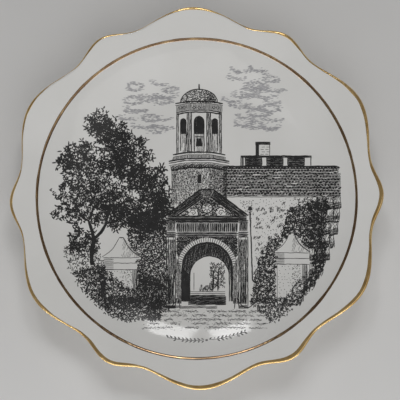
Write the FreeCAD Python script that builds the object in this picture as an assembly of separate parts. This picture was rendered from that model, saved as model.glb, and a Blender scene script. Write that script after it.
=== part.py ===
"""Souvenir plate: a small scalloped tea plate of glazed china, gilded at the lip and the
verge, with a one-colour printed view in the well.

Frame: +Z up along the plate's axis, +Y towards the top of the printed view, origin at the
centre of the foot ring, on the plane that the plate stands on. Millimetres.

The plate is built in the layers it is made in: the biscuit body, the glaze over it (left off
the foot ring, which is wiped bare for the kiln), the gilding at the lip, the gilded line at
the verge, and the patches of printed transfer, which lie on the glaze of the well.
"""
import FreeCAD, Part
import math
import os

# ---- driving dimensions ----------------------------------------------------------------
# scalloped outline: broad lobes alternating with as many narrow ones
LOBE_PAIRS = 6
LOBE_TURN = math.radians(31.3)                # from +X to the middle of a broad lobe
OUTLINE_RADIUS = 79.4                         # mean radius of the lip
LOBE_WAVES = (1.45, 1.95, -0.52, 0.15)        # heights of the waves that make up a lobe pair
POINTS_PER_LOBE = 8

# half section of the glazed plate
FLOOR_Z = 5.4                                 # top of the well's flat floor
FLOOR_RADIUS = 42.0
COVE_RADIUS = 42.0                            # the hollow curve from the floor up to the verge
COVE_END_SLOPE = math.radians(39.0)
VERGE_ROUND = 2.5                             # between the cove and the rim
RIM_SLOPE = math.radians(11.0)
WALL = 3.1                                    # thickness under the cove
RIM_ROOT_THICKNESS = 3.0                      # just outside the verge
LIP_THICKNESS = 2.2
LIP_ROUND = 0.8
UNDER_VERGE_ROUND = 5.0
BASE_UNDER_Z = 2.2                            # underside of the base, inside the foot ring
FOOT_CONTACT = (45.5, 47.5)                   # inner and outer radius of the flat it stands on
FOOT_DRAFT = math.radians(25.0)               # lean of the foot ring's sides
FOOT_ROOT_ROUND = 0.8
FOOT_EDGE_ROUND = 0.4

# layers
GLAZE = 0.15
GLAZE_STOP_Z = 0.6                            # the foot ring is bare below this height
PRINT = 0.12
GILDING_WIDTH = 1.3                           # how far the lip's gold band reaches inwards
VERGE_LINE = (68.45, 69.55)                   # inner and outer radius of the gilded line

# printed view: x to the right and y upwards from the plate's axis
VIEW_RADIUS = 64.5                            # the view's widest reach from the axis
TOWER_MIDDLE = 1.0
TOWER_HALF_WIDTH = 10.5
TOWER_CORNICE = 3.0                           # height of each half of the cornice, and its overhang
TOWER_FOOT = -4.0
TOWER_CORNICE_Y = 13.0
TOWER_PARAPET_Y = 41.0
TOWER_TOP = 50.0
FINIAL_HALF_WIDTH = 0.8                       # blunt tips of the dome and the piers
GATE_MIDDLE = 4.5
GATE_HALF_WIDTH = 18.0
GATE_FOOT = -48.0
GATE_EAVES = -8.0
GATE_TOP = 4.0
CROWN_HALF_WIDTH = 3.0                        # flat top of the gate's pediment
PIER_CAP_HEIGHT = 8.5
PIER_CAP_EAVES = 1.5
LEFT_PIER_MIDDLE = -33.0
LEFT_PIER_HALF_WIDTH = 7.0
LEFT_PIER_FOOT = -43.0
LEFT_PIER_TOP = -17.0
RIGHT_PIER_MIDDLE = 41.5
RIGHT_PIER_HALF_WIDTH = 6.5
RIGHT_PIER_FOOT = -46.0
RIGHT_PIER_TOP = -15.0
RANGE_RIDGE_Y = 14.0
RANGE_EAVES_Y = 1.0
RANGE_WALL_END = 44.0
RANGE_FOOT = -36.0
# middle, half width, half height and lean of what is grown or blown
CRAG = ((54.0, -19.0), 12.0, 22.0, math.radians(-18.0))
HEDGE = ((-34.0, -41.0), 24.0, 13.0, math.radians(-15.0))
TREE = ((-36.0, 4.0), 25.0, 32.0, 0.0)
ROAD = ((0.0, -51.5), 31.0, 7.0, 0.0)
LEFT_CLOUD = ((-19.0, 40.0), 17.0, 12.0, math.radians(25.0))
RIGHT_CLOUD = ((25.0, 42.0), 19.0, 18.0, 0.0)
BULGES = 7                                    # round the outline of a tree, cloud or rock
BULGE_DEPTH = 0.05
POINTS_PER_BULGE = 6
CAPTION_RADIUS = 61.6                         # mid-line of the ornament under the view
CAPTION_HEIGHT = 2.3
CAPTION_ENDS = (math.radians(-104.0), math.radians(-67.0))

# ---- places that follow from them --------------------------------------------------------
BEYOND = 92.0                                 # past the widest lobe, for cutting tools
ABOVE = 40.0                                  # over the highest point, for cutting tools
UP = FreeCAD.Vector(0, 0, 1)
ORIGIN = FreeCAD.Vector(0, 0, 0)
COVE_CENTRE = FreeCAD.Vector(FLOOR_RADIUS, 0, FLOOR_Z + COVE_RADIUS)


# ---- half sections -----------------------------------------------------------------------
def at(radius, height):
    """A point of the half section."""
    return FreeCAD.Vector(radius, 0, height)


def along(slope):
    """Unit vector that climbs outwards at this slope."""
    return FreeCAD.Vector(math.cos(slope), 0, math.sin(slope))


def square_to(slope):
    """Unit vector square to a surface of this slope, on its upper side."""
    return FreeCAD.Vector(-math.sin(slope), 0, math.cos(slope))


def run_to(start, slope, radius):
    """Where a straight line from start, at this slope, comes to this radius."""
    return start + along(slope) * ((radius - start.x) / math.cos(slope))


def meet_cove(start, direction, radius, far):
    """Where a straight line crosses a circle round the cove's centre."""
    reach = start - COVE_CENTRE
    middle = -reach.dot(direction)
    half_chord = math.sqrt(middle ** 2 - reach.dot(reach) + radius ** 2)
    return start + direction * (middle + half_chord if far else middle - half_chord)


def line(start, end):
    return Part.LineSegment(start, end).toShape()


def arc(centre, start, end):
    """The short arc between two points that are equally far from the centre."""
    radius = (start - centre).Length
    bisector = (start - centre) + (end - centre)
    return Part.Arc(start, centre + bisector.normalize() * radius, end).toShape()


def revolved(edges):
    face = Part.Face(Part.Wire(edges))
    return face.revolve(ORIGIN, UP, 360)


# ---- outline -----------------------------------------------------------------------------
def edge_point(angle, inset):
    """A point of the lip's outline, moved squarely inwards by the inset."""
    phase = LOBE_PAIRS * (angle - LOBE_TURN)
    radius = OUTLINE_RADIUS
    growth = 0.0
    for order, height in enumerate(LOBE_WAVES, start=1):
        radius += height * math.cos(order * phase)
        growth -= height * order * LOBE_PAIRS * math.sin(order * phase)
    outward = FreeCAD.Vector(math.cos(angle), math.sin(angle), 0)
    sideways = FreeCAD.Vector(-math.sin(angle), math.cos(angle), 0)
    square = outward * radius - sideways * growth
    return outward * radius - square.normalize() * inset


def upright(wire):
    """Upright prism over a flat outline, tall enough to pass through the whole plate."""
    face = Part.Face(wire)
    face.translate(UP * -1)
    return face.extrude(UP * ABOVE)


def outline_prism(inset):
    """Prism over the scalloped outline, with one side face for every lobe."""
    lobes = 2 * LOBE_PAIRS
    count = lobes * POINTS_PER_LOBE
    points = [edge_point(2 * math.pi * step / count, inset) for step in range(count)]
    curve = Part.BSplineCurve()
    curve.interpolate(Points=points, PeriodicFlag=True)
    joints = [curve.parameter(points[lobe * POINTS_PER_LOBE]) for lobe in range(1, lobes)]
    edges = []
    for start, end in zip([curve.FirstParameter] + joints, joints + [curve.LastParameter]):
        stretch = curve.copy()
        stretch.segment(start, end)
        edges.append(stretch.toShape())
    return upright(Part.Wire(edges))


def disc(radius, low, high):
    return Part.makeCylinder(radius, high - low, UP * low)


# ---- china -------------------------------------------------------------------------------
def rounded_rings(solid, place, radius):
    """Rounds the circular edge of a revolved solid at this place of its half section."""
    edges = []
    for edge in solid.Edges:
        curve = edge.Curve
        if not isinstance(curve, Part.Circle):
            continue
        if abs(curve.Radius - place.x) < 0.01 and abs(curve.Center.z - place.z) < 0.01:
            edges.append(edge)
    return solid.makeFillet(radius, edges)


def rounded_lip(solid, radius):
    """Rounds the upper and lower edges of the scalloped lip."""
    edges = {}
    for face in solid.Faces:
        first_u, last_u, first_v, last_v = face.ParameterRange
        facing = face.normalAt((first_u + last_u) / 2, (first_v + last_v) / 2)
        reach = math.hypot(face.CenterOfMass.x, face.CenterOfMass.y)
        if abs(facing.z) > 0.01 or reach < VERGE_LINE[1]:
            continue
        for edge in face.Edges:
            if edge.Length > 2 * LIP_THICKNESS:
                edges[edge.hashCode()] = edge
    return solid.makeFillet(radius, list(edges.values()))


def blank(inset):
    """The plate before its lip is cut to shape, this far inside the glazed surface."""
    floor_middle = at(0, FLOOR_Z - inset)
    floor_end = at(FLOOR_RADIUS, FLOOR_Z - inset)
    cove_end = COVE_CENTRE - square_to(COVE_END_SLOPE) * (COVE_RADIUS + inset)

    verge_centre = COVE_CENTRE - square_to(COVE_END_SLOPE) * (COVE_RADIUS + VERGE_ROUND)
    verge_end = verge_centre + square_to(RIM_SLOPE) * (VERGE_ROUND - inset)
    rim_end = run_to(verge_end, RIM_SLOPE, BEYOND)

    rim_start = verge_centre + square_to(RIM_SLOPE) * VERGE_ROUND
    root = rim_start - UP * RIM_ROOT_THICKNESS
    lip = run_to(rim_start, RIM_SLOPE, OUTLINE_RADIUS) - UP * LIP_THICKNESS
    under_slope = math.atan2(lip.z - root.z, lip.x - root.x)
    under_start = root + square_to(under_slope) * inset
    outside = COVE_RADIUS + WALL - inset
    under_verge = meet_cove(under_start, along(under_slope), outside, far=True)
    under_end = run_to(under_verge, under_slope, BEYOND)

    side_step = inset / math.cos(FOOT_DRAFT)
    contact_in = at(FOOT_CONTACT[0] + side_step, 0)
    contact_out = at(FOOT_CONTACT[1] - side_step, 0)
    lean = FreeCAD.Vector(math.sin(FOOT_DRAFT), 0, math.cos(FOOT_DRAFT))
    outer_root = meet_cove(contact_out, lean, outside, far=False)
    under_z = BASE_UNDER_Z + inset
    inner_root = at(contact_in.x - under_z * math.tan(FOOT_DRAFT), under_z)
    under_middle = at(0, under_z)

    solid = revolved([
        line(floor_middle, floor_end),
        arc(COVE_CENTRE, floor_end, cove_end),
        arc(verge_centre, cove_end, verge_end),
        line(verge_end, rim_end),
        line(rim_end, under_end),
        line(under_end, under_verge),
        arc(COVE_CENTRE, under_verge, outer_root),
        line(outer_root, contact_out),
        line(contact_out, contact_in),
        line(contact_in, inner_root),
        line(inner_root, under_middle),
        line(under_middle, floor_middle),
    ])
    solid = rounded_rings(solid, under_verge, UNDER_VERGE_ROUND + inset)
    solid = rounded_rings(solid, outer_root, FOOT_ROOT_ROUND + inset)
    return rounded_rings(solid, inner_root, FOOT_ROOT_ROUND + inset)


def china(inset):
    """The plate as one solid, this far inside its glazed surface."""
    scalloped = blank(inset).common(outline_prism(inset))
    return rounded_lip(scalloped.Solids[0], LIP_ROUND - inset)


def body_with_soft_foot(body):
    """The body, with the edges of the ring that it stands on rubbed round."""
    side_step = GLAZE / math.cos(FOOT_DRAFT)
    body = rounded_rings(body, at(FOOT_CONTACT[0] + side_step, 0), FOOT_EDGE_ROUND)
    return rounded_rings(body, at(FOOT_CONTACT[1] - side_step, 0), FOOT_EDGE_ROUND)


def piece_holding(shape, point):
    """The one solid of a cut-up shape that holds this point."""
    for solid in shape.Solids:
        if solid.isInside(point, 0.001, True):
            return solid
    raise ValueError("no piece at " + str(point))


def upper_probe(radius, depth):
    """A point this far below the top of the rim, at about this radius."""
    verge_centre = COVE_CENTRE - square_to(COVE_END_SLOPE) * (COVE_RADIUS + VERGE_ROUND)
    rim_start = verge_centre + square_to(RIM_SLOPE) * (VERGE_ROUND - depth)
    return run_to(rim_start, RIM_SLOPE, radius)


def glaze_and_verge_line():
    """The outermost layer within the lip's gold band, parted at the gilded line."""
    skin = blank(0.0).cut(blank(GLAZE)).cut(disc(BEYOND, -1, GLAZE_STOP_Z))
    skin = skin.common(outline_prism(GILDING_WIDTH))
    verge_z = upper_probe(VERGE_LINE[0], 0).z
    verge_band = disc(VERGE_LINE[1], verge_z - 1, verge_z + 1).cut(disc(VERGE_LINE[0], 0, ABOVE))
    glaze = skin.cut(verge_band)
    half = GLAZE / 2
    under_cove = COVE_CENTRE - square_to(COVE_END_SLOPE / 2) * (COVE_RADIUS + WALL - half)
    return {
        "verge_line": skin.common(verge_band).Solids[0],
        "well_glaze": piece_holding(glaze, at(0, FLOOR_Z - half)),
        "rim_glaze": piece_holding(glaze, upper_probe(VERGE_LINE[1] + 3, half)),
        "back_glaze": piece_holding(glaze, under_cove),
        "foot_well_glaze": piece_holding(glaze, at(0, BASE_UNDER_Z + half)),
    }


def rim_gilding(glazed, body):
    """The gold band, wrapped round the lip in place of the glaze."""
    within = outline_prism(GILDING_WIDTH)
    return glazed.cut(within).cut(body.cut(within)).Solids[0]


# ---- printed view ------------------------------------------------------------------------
def print_layer():
    """The transfer before it is cut up: a thin layer on the floor and cove of the well."""
    end_slope = math.asin((VIEW_RADIUS - FLOOR_RADIUS) / COVE_RADIUS)
    lower_end = COVE_CENTRE - square_to(end_slope) * COVE_RADIUS
    upper_end = COVE_CENTRE - square_to(end_slope) * (COVE_RADIUS - PRINT)
    lower_corner = at(FLOOR_RADIUS, FLOOR_Z)
    upper_corner = at(FLOOR_RADIUS, FLOOR_Z + PRINT)
    return revolved([
        line(at(0, FLOOR_Z), lower_corner),
        arc(COVE_CENTRE, lower_corner, lower_end),
        line(lower_end, upper_end),
        arc(COVE_CENTRE, upper_end, upper_corner),
        line(upper_corner, at(0, FLOOR_Z + PRINT)),
        line(at(0, FLOOR_Z + PRINT), at(0, FLOOR_Z)),
    ])


def straight_sided(corners):
    """Outline with straight sides, through corners given as x and y."""
    return Part.makePolygon([FreeCAD.Vector(x, y, 0) for x, y in corners + corners[:1]])


def mirrored(middle, profile):
    """Outline of a building that is the same on both sides of its middle.

    The profile climbs from the foot: half widths and heights.
    """
    right = [(middle + half_width, height) for half_width, height in profile]
    left = [(middle - half_width, height) for half_width, height in reversed(profile)]
    return straight_sided(right + left)


def billowing(middle, half_width, half_height, lean):
    """Outline of something grown or blown: a leaning oval with even bulges."""
    count = BULGES * POINTS_PER_BULGE
    points = []
    for step in range(count):
        angle = 2 * math.pi * step / count
        swell = 1 + BULGE_DEPTH * math.cos(BULGES * angle)
        x = half_width * swell * math.cos(angle)
        y = half_height * swell * math.sin(angle)
        points.append(FreeCAD.Vector(
            middle[0] + x * math.cos(lean) - y * math.sin(lean),
            middle[1] + x * math.sin(lean) + y * math.cos(lean), 0))
    curve = Part.BSplineCurve()
    curve.interpolate(Points=points, PeriodicFlag=True)
    return Part.Wire(curve.toShape())


def bell_tower():
    """A drum, a cornice, a belfry and a low dome."""
    cornice_half_width = TOWER_HALF_WIDTH + TOWER_CORNICE
    return mirrored(TOWER_MIDDLE, [
        (TOWER_HALF_WIDTH + TOWER_CORNICE / 2, TOWER_FOOT),
        (TOWER_HALF_WIDTH + TOWER_CORNICE / 2, TOWER_CORNICE_Y),
        (cornice_half_width, TOWER_CORNICE_Y + TOWER_CORNICE),
        (TOWER_HALF_WIDTH, TOWER_CORNICE_Y + 2 * TOWER_CORNICE),
        (TOWER_HALF_WIDTH, TOWER_PARAPET_Y),
        (TOWER_HALF_WIDTH / 2, (TOWER_PARAPET_Y + TOWER_TOP) / 2),
        (FINIAL_HALF_WIDTH, TOWER_TOP),
    ])


def gatehouse():
    """A block under a pediment."""
    return mirrored(GATE_MIDDLE, [
        (GATE_HALF_WIDTH, GATE_FOOT),
        (GATE_HALF_WIDTH, GATE_EAVES),
        (CROWN_HALF_WIDTH, GATE_TOP),
    ])


def pier(middle, half_width, foot, top):
    """A gate pier under a spreading, pointed cap."""
    shoulder = top - PIER_CAP_HEIGHT
    return mirrored(middle, [
        (half_width, foot),
        (half_width, shoulder - PIER_CAP_EAVES),
        (half_width + PIER_CAP_EAVES, shoulder),
        (FINIAL_HALF_WIDTH, top),
    ])


def left_pier():
    return pier(LEFT_PIER_MIDDLE, LEFT_PIER_HALF_WIDTH, LEFT_PIER_FOOT, LEFT_PIER_TOP)


def right_pier():
    return pier(RIGHT_PIER_MIDDLE, RIGHT_PIER_HALF_WIDTH, RIGHT_PIER_FOOT, RIGHT_PIER_TOP)


def tiled_range():
    """A long roof that runs from the tower to the view's edge, over a wall that dips to the gate."""
    start = TOWER_MIDDLE + TOWER_HALF_WIDTH
    return straight_sided([
        (start, RANGE_RIDGE_Y), (VIEW_RADIUS, RANGE_RIDGE_Y), (VIEW_RADIUS, RANGE_EAVES_Y),
        (RANGE_WALL_END, RANGE_EAVES_Y), (GATE_MIDDLE + GATE_HALF_WIDTH, RANGE_FOOT),
        (start, RANGE_FOOT)])


def caption_ornament():
    """A short arc-shaped band."""
    corners = []
    middle = sum(CAPTION_ENDS) / 2
    for side in (-0.5, 0.5):
        radius = CAPTION_RADIUS + side * CAPTION_HEIGHT
        for angle in (CAPTION_ENDS[0], middle, CAPTION_ENDS[1]):
            corners.append(FreeCAD.Vector(radius * math.cos(angle), radius * math.sin(angle), 0))
    inner_start, inner_middle, inner_end, outer_start, outer_middle, outer_end = corners
    return Part.Wire([
        Part.Arc(inner_start, inner_middle, inner_end).toShape(),
        line(inner_end, outer_end),
        Part.Arc(outer_end, outer_middle, outer_start).toShape(),
        line(outer_start, inner_start),
    ])


def crag():
    return billowing(*CRAG)


def hedge():
    return billowing(*HEDGE)


def tree():
    return billowing(*TREE)


def road():
    return billowing(*ROAD)


def left_cloud():
    return billowing(*LEFT_CLOUD)


def right_cloud():
    return billowing(*RIGHT_CLOUD)


# in this order each patch is cut out of what the ones before it have left
PATCHES = {
    "print_caption": caption_ornament,
    "print_gatehouse": gatehouse,
    "print_bell_tower": bell_tower,
    "print_left_pier": left_pier,
    "print_right_pier": right_pier,
    "print_tiled_range": tiled_range,
    "print_crag": crag,
    "print_hedge": hedge,
    "print_tree": tree,
    "print_road": road,
    "print_left_cloud": left_cloud,
    "print_right_cloud": right_cloud,
}


def printed_patches():
    left_over = print_layer()
    patches = {}
    for name, outline in PATCHES.items():
        prism = upright(outline())
        patch = left_over.common(prism)
        if len(patch.Solids) != 1:
            raise ValueError(name + " falls apart")
        patches[name] = patch.Solids[0]
        left_over = left_over.cut(prism)
    return patches


# ---- the whole plate ---------------------------------------------------------------------
def main():
    body = china(GLAZE)
    nodes = {
        "china_body": body_with_soft_foot(body),
        "rim_gilding": rim_gilding(china(0.0), body),
    }
    nodes.update(glaze_and_verge_line())
    nodes.update(printed_patches())
    os.makedirs("parts", exist_ok=True)
    for name, shape in nodes.items():
        shape.exportStep("parts/" + name + ".step")


main()
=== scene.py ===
"""Looks of a scalloped souvenir plate: glazed china, hand-laid gilding and an engraved view."""
import bmesh
import bpy
import math
import numpy as np
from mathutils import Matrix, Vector


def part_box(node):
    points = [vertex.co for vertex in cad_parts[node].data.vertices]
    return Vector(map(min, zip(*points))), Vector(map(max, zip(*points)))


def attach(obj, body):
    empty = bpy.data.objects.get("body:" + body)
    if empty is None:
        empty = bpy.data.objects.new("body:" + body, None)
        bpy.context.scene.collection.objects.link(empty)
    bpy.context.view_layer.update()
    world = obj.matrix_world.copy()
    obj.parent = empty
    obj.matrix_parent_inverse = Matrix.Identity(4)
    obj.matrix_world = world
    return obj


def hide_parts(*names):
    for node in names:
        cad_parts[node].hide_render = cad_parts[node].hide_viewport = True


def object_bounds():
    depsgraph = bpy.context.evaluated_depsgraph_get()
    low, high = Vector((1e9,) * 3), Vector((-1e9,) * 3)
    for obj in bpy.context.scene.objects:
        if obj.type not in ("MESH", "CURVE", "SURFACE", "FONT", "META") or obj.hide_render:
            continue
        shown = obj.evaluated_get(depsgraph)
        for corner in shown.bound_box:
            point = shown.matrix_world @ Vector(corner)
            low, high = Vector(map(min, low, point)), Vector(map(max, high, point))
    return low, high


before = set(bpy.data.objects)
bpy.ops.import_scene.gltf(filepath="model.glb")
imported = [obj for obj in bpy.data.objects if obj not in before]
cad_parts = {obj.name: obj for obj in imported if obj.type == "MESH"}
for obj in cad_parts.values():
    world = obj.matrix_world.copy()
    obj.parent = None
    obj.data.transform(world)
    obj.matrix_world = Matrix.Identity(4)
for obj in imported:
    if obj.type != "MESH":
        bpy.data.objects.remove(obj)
cad_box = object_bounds()

# ---- sizes of the plate, as in the CAD, in millimetres over the plane that it stands on ----
MM = 0.001
SEGMENTS = 480                      # round the plate
LOBE_PAIRS = 6
LOBE_TURN = math.radians(31.3)      # from +X to the middle of a broad lobe
OUTLINE_RADIUS = 79.4               # mean radius of the lip
LOBE_WAVES = (1.45, 1.95, -0.52, 0.15)
FLOOR_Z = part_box("print_bell_tower")[0].z / MM          # top of the well's flat floor
FLOOR_RADIUS = 42.0
COVE_RADIUS = 42.0                  # the hollow curve from the floor up to the verge
COVE_END_SLOPE = math.radians(39.0)
VERGE_ROUND = 2.5                   # between the cove and the rim
RIM_SLOPE = math.radians(11.0)
WALL = 3.1                          # thickness under the cove
RIM_ROOT_THICKNESS = 3.0
LIP_THICKNESS = 2.2
LIP_REACH = 0.95                    # how far in from the lip its round begins
UNDER_VERGE_ROUND = 5.0
BASE_UNDER_Z = 2.2
FOOT_CONTACT = (45.5, 47.5)         # inner and outer radius of the flat that it stands on
FOOT_DRAFT = math.radians(25.0)
FOOT_ROOT_ROUND = 0.8
GLAZE = 0.15
GLAZE_STOP_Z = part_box("back_glaze")[0].z / MM           # the foot ring is bare below this
VERGE_MIDDLE = 69.0                 # of the gilded line

ANGLES = np.linspace(0, 2 * math.pi, SEGMENTS, endpoint=False)


# ---- half section: a point is radius + 1j * height ----
def slope_vector(slope):
    return complex(math.cos(slope), math.sin(slope))


def meet_cove(start, direction, radius, far):
    """Where a straight line crosses a circle round the cove's centre."""
    reach = start - COVE_CENTRE
    middle = -(reach * direction.conjugate()).real
    half_chord = math.sqrt(middle ** 2 - abs(reach) ** 2 + radius ** 2)
    return start + direction * (middle + half_chord if far else middle - half_chord)


COVE_CENTRE = complex(FLOOR_RADIUS, FLOOR_Z + COVE_RADIUS)
COVE_END = COVE_CENTRE - 1j * slope_vector(COVE_END_SLOPE) * COVE_RADIUS
VERGE_CENTRE = COVE_CENTRE - 1j * slope_vector(COVE_END_SLOPE) * (COVE_RADIUS + VERGE_ROUND)
RIM_START = VERGE_CENTRE + 1j * slope_vector(RIM_SLOPE) * VERGE_ROUND


def top_height(radius):
    """Height of the decorated face at each radius."""
    cove = np.clip(radius - FLOOR_RADIUS, 0, COVE_END.real - FLOOR_RADIUS)
    height = FLOOR_Z + COVE_RADIUS - np.sqrt(COVE_RADIUS ** 2 - cove ** 2)
    verge = np.clip(radius, COVE_END.real, RIM_START.real) - VERGE_CENTRE.real
    verge_height = VERGE_CENTRE.imag + np.sqrt(VERGE_ROUND ** 2 - verge ** 2)
    height = np.where(radius > COVE_END.real, verge_height, height)
    return height + np.clip(radius - RIM_START.real, 0, None) * math.tan(RIM_SLOPE)


ROOT = RIM_START - 1j * RIM_ROOT_THICKNESS
LIP_UNDER = RIM_START.imag + (OUTLINE_RADIUS - RIM_START.real) * math.tan(RIM_SLOPE) - LIP_THICKNESS
UNDER_SLOPE = math.atan2(LIP_UNDER - ROOT.imag, OUTLINE_RADIUS - ROOT.real)
UNDER_RADIUS = COVE_RADIUS + WALL
UNDER_SQUARE = 1j * slope_vector(UNDER_SLOPE)
UNDER_ROUND_CENTRE = meet_cove(ROOT - UNDER_SQUARE * UNDER_VERGE_ROUND, slope_vector(UNDER_SLOPE),
                               UNDER_RADIUS + UNDER_VERGE_ROUND, far=True)
UNDER_ROUND_OUT = UNDER_ROUND_CENTRE + UNDER_SQUARE * UNDER_VERGE_ROUND
UNDER_ROUND_IN = COVE_CENTRE + (UNDER_ROUND_CENTRE - COVE_CENTRE) * (
    UNDER_RADIUS / (UNDER_RADIUS + UNDER_VERGE_ROUND))
FOOT_LEAN = complex(math.sin(FOOT_DRAFT), math.cos(FOOT_DRAFT))
FOOT_ROUND_CENTRE = meet_cove(FOOT_CONTACT[1] - 1j * FOOT_LEAN * FOOT_ROOT_ROUND, FOOT_LEAN,
                              UNDER_RADIUS + FOOT_ROOT_ROUND, far=False)
FOOT_ROUND_OUT = COVE_CENTRE + (FOOT_ROUND_CENTRE - COVE_CENTRE) * (
    UNDER_RADIUS / (UNDER_RADIUS + FOOT_ROOT_ROUND))
FOOT_ROUND_IN = FOOT_ROUND_CENTRE + 1j * FOOT_LEAN * FOOT_ROOT_ROUND


def under_height(radius):
    """Height of the back, from the foot ring's outer side out to the lip."""
    rim = ROOT.imag + (radius - ROOT.real) * math.tan(UNDER_SLOPE)
    bend = np.clip(radius - UNDER_ROUND_CENTRE.real, -UNDER_VERGE_ROUND, UNDER_VERGE_ROUND)
    bend_height = UNDER_ROUND_CENTRE.imag + np.sqrt(UNDER_VERGE_ROUND ** 2 - bend ** 2)
    wall = np.clip(radius - FLOOR_RADIUS, 0, UNDER_RADIUS)
    wall_height = COVE_CENTRE.imag - np.sqrt(UNDER_RADIUS ** 2 - wall ** 2)
    foot = np.clip(radius - FOOT_ROUND_CENTRE.real, -FOOT_ROOT_ROUND, FOOT_ROOT_ROUND)
    foot_height = FOOT_ROUND_CENTRE.imag + np.sqrt(FOOT_ROOT_ROUND ** 2 - foot ** 2)
    side = (radius - FOOT_CONTACT[1]) / math.tan(FOOT_DRAFT)
    height = np.where(radius < UNDER_ROUND_OUT.real, bend_height, rim)
    height = np.where(radius < UNDER_ROUND_IN.real, wall_height, height)
    height = np.where(radius < FOOT_ROUND_OUT.real, foot_height, height)
    return np.where(radius < FOOT_ROUND_IN.real, side, height)


# ---- outline ----
def circle(radius):
    return np.column_stack([radius * np.cos(ANGLES), radius * np.sin(ANGLES)])


def outline(inset):
    """The scalloped outline moved squarely inwards; the inset may differ at each angle."""
    phase = LOBE_PAIRS * (ANGLES - LOBE_TURN)
    radius = np.full(SEGMENTS, OUTLINE_RADIUS)
    growth = np.zeros(SEGMENTS)
    for order, height in enumerate(LOBE_WAVES, start=1):
        radius += height * np.cos(order * phase)
        growth -= height * order * LOBE_PAIRS * np.sin(order * phase)
    square_x = radius * np.cos(ANGLES) + growth * np.sin(ANGLES)
    square_y = radius * np.sin(ANGLES) - growth * np.cos(ANGLES)
    share = np.asarray(inset) / np.hypot(radius, growth)
    return np.column_stack([radius * np.cos(ANGLES) - square_x * share,
                            radius * np.sin(ANGLES) - square_y * share])


def lifted(places, height):
    """Puts flat places on the surface whose height is a function of the radius."""
    return np.column_stack([places, height(np.hypot(places[:, 0], places[:, 1]))])


def lip_ring(path):
    """A ring of the lip. The path runs, in about a millimetre's steps, from the rim's top (below
    0) round the lip (0 to pi) to the underside (over pi); it may differ at each angle."""
    path = np.broadcast_to(np.asarray(path, float), SEGMENTS)
    turn = math.pi / 2 - np.clip(path, 0, math.pi)
    beyond = np.clip(-path, 0, None) + np.clip(path - math.pi, 0, None)
    inset = LIP_REACH * (1 - np.cos(turn)) + beyond
    places = outline(inset)
    anchor = outline(np.maximum(inset, LIP_REACH))
    radius = np.hypot(anchor[:, 0], anchor[:, 1])
    top, under = top_height(radius), under_height(radius)
    lift = LIP_REACH - np.minimum(inset, LIP_REACH)
    slope = np.where(turn > 0, math.tan(RIM_SLOPE), math.tan(UNDER_SLOPE))
    height = (top + under) / 2 + np.sin(turn) * (top - under) / 2 + slope * lift
    return np.column_stack([places, height])


# ---- meshes ----
def on_axis(ring_places):
    """Whether a ring has no width."""
    return np.hypot(ring_places[:, 0], ring_places[:, 1]).max() < 0.001


def surface_normals(rings):
    """Normals of a surface given as rings that run from the axis outwards and round the lip."""
    across = np.gradient(rings, axis=0)
    around = np.roll(rings, -1, axis=1) - np.roll(rings, 1, axis=1)
    normals = np.cross(across, around)
    normals /= np.maximum(np.linalg.norm(normals, axis=2, keepdims=True), 1e-9)
    if on_axis(rings[0]):
        normals[0] = normals[1].mean(axis=0) / np.linalg.norm(normals[1].mean(axis=0))
    return normals


def new_object(name, vertices, faces, material):
    mesh = bpy.data.meshes.new(name)
    mesh.from_pydata(vertices, [], faces)
    mesh.validate()
    mesh.materials.append(material)
    thing = bpy.data.objects.new(name, mesh)
    bpy.context.scene.collection.objects.link(thing)
    return thing


def add_piece(name, vertices, faces, material, replaced, smooth=True):
    piece = new_object(name, (vertices * MM).tolist(), faces, material)
    piece.data.shade_smooth() if smooth else piece.data.shade_flat()
    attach(piece, "root")
    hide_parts(*replaced)
    return piece


def close_at_axis(mesh):
    """Joins the rings of no width that lie on the axis into one point each."""
    form = bmesh.new()
    form.from_mesh(mesh)
    middle = [vertex for vertex in form.verts if vertex.co.xy.length < 1e-6]
    bmesh.ops.remove_doubles(form, verts=middle, dist=1e-7)
    loose = [edge for edge in form.edges if not edge.link_faces]
    bmesh.ops.delete(form, geom=loose, context="EDGES")
    form.to_mesh(mesh)
    form.free()


def closed_band(name, rings, depth, material, replaced):
    """A closed skin: rings of its outer side, backed by the same rings that far inside."""
    rings = np.asarray(rings)
    backing = rings - surface_normals(rings) * depth
    loops = np.concatenate([rings, backing[::-1]])
    corner = np.arange(loops.size // 3).reshape(len(loops), SEGMENTS)
    below, ahead = np.roll(corner, -1, axis=0), np.roll(corner, -1, axis=1)
    faces = np.stack([corner, below, np.roll(below, -1, axis=1), ahead], axis=-1).reshape(-1, 4)
    piece = add_piece(name, loops.reshape(-1, 3), faces.tolist(), material, replaced)
    if on_axis(rings[0]):
        close_at_axis(piece.data)
    piece.data.set_sharp_from_angle(angle=math.radians(50))
    return piece


# ---- materials ----
def noise(tree, scale, detail):
    """Noise in object space; scale counts features in a metre."""
    place = tree.nodes.new("ShaderNodeTexCoord")
    texture = tree.nodes.new("ShaderNodeTexNoise")
    texture.inputs["Scale"].default_value = scale
    texture.inputs["Detail"].default_value = detail
    tree.links.new(place.outputs["Object"], texture.inputs["Vector"])
    return texture.outputs["Fac"]


def ramp(tree, factor, socket, *stops):
    """Feeds a socket with colours or greys along a factor; each stop is (place, colour)."""
    node = tree.nodes.new("ShaderNodeValToRGB")
    band = node.color_ramp
    while len(band.elements) < len(stops):
        band.elements.new(0.5)
    for element, (place, colour) in zip(band.elements, stops):
        element.position = place
        element.color = (*colour, 1) if isinstance(colour, tuple) else (colour, colour, colour, 1)
    tree.links.new(factor, node.inputs["Fac"])
    tree.links.new(node.outputs["Color"], socket)


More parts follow.
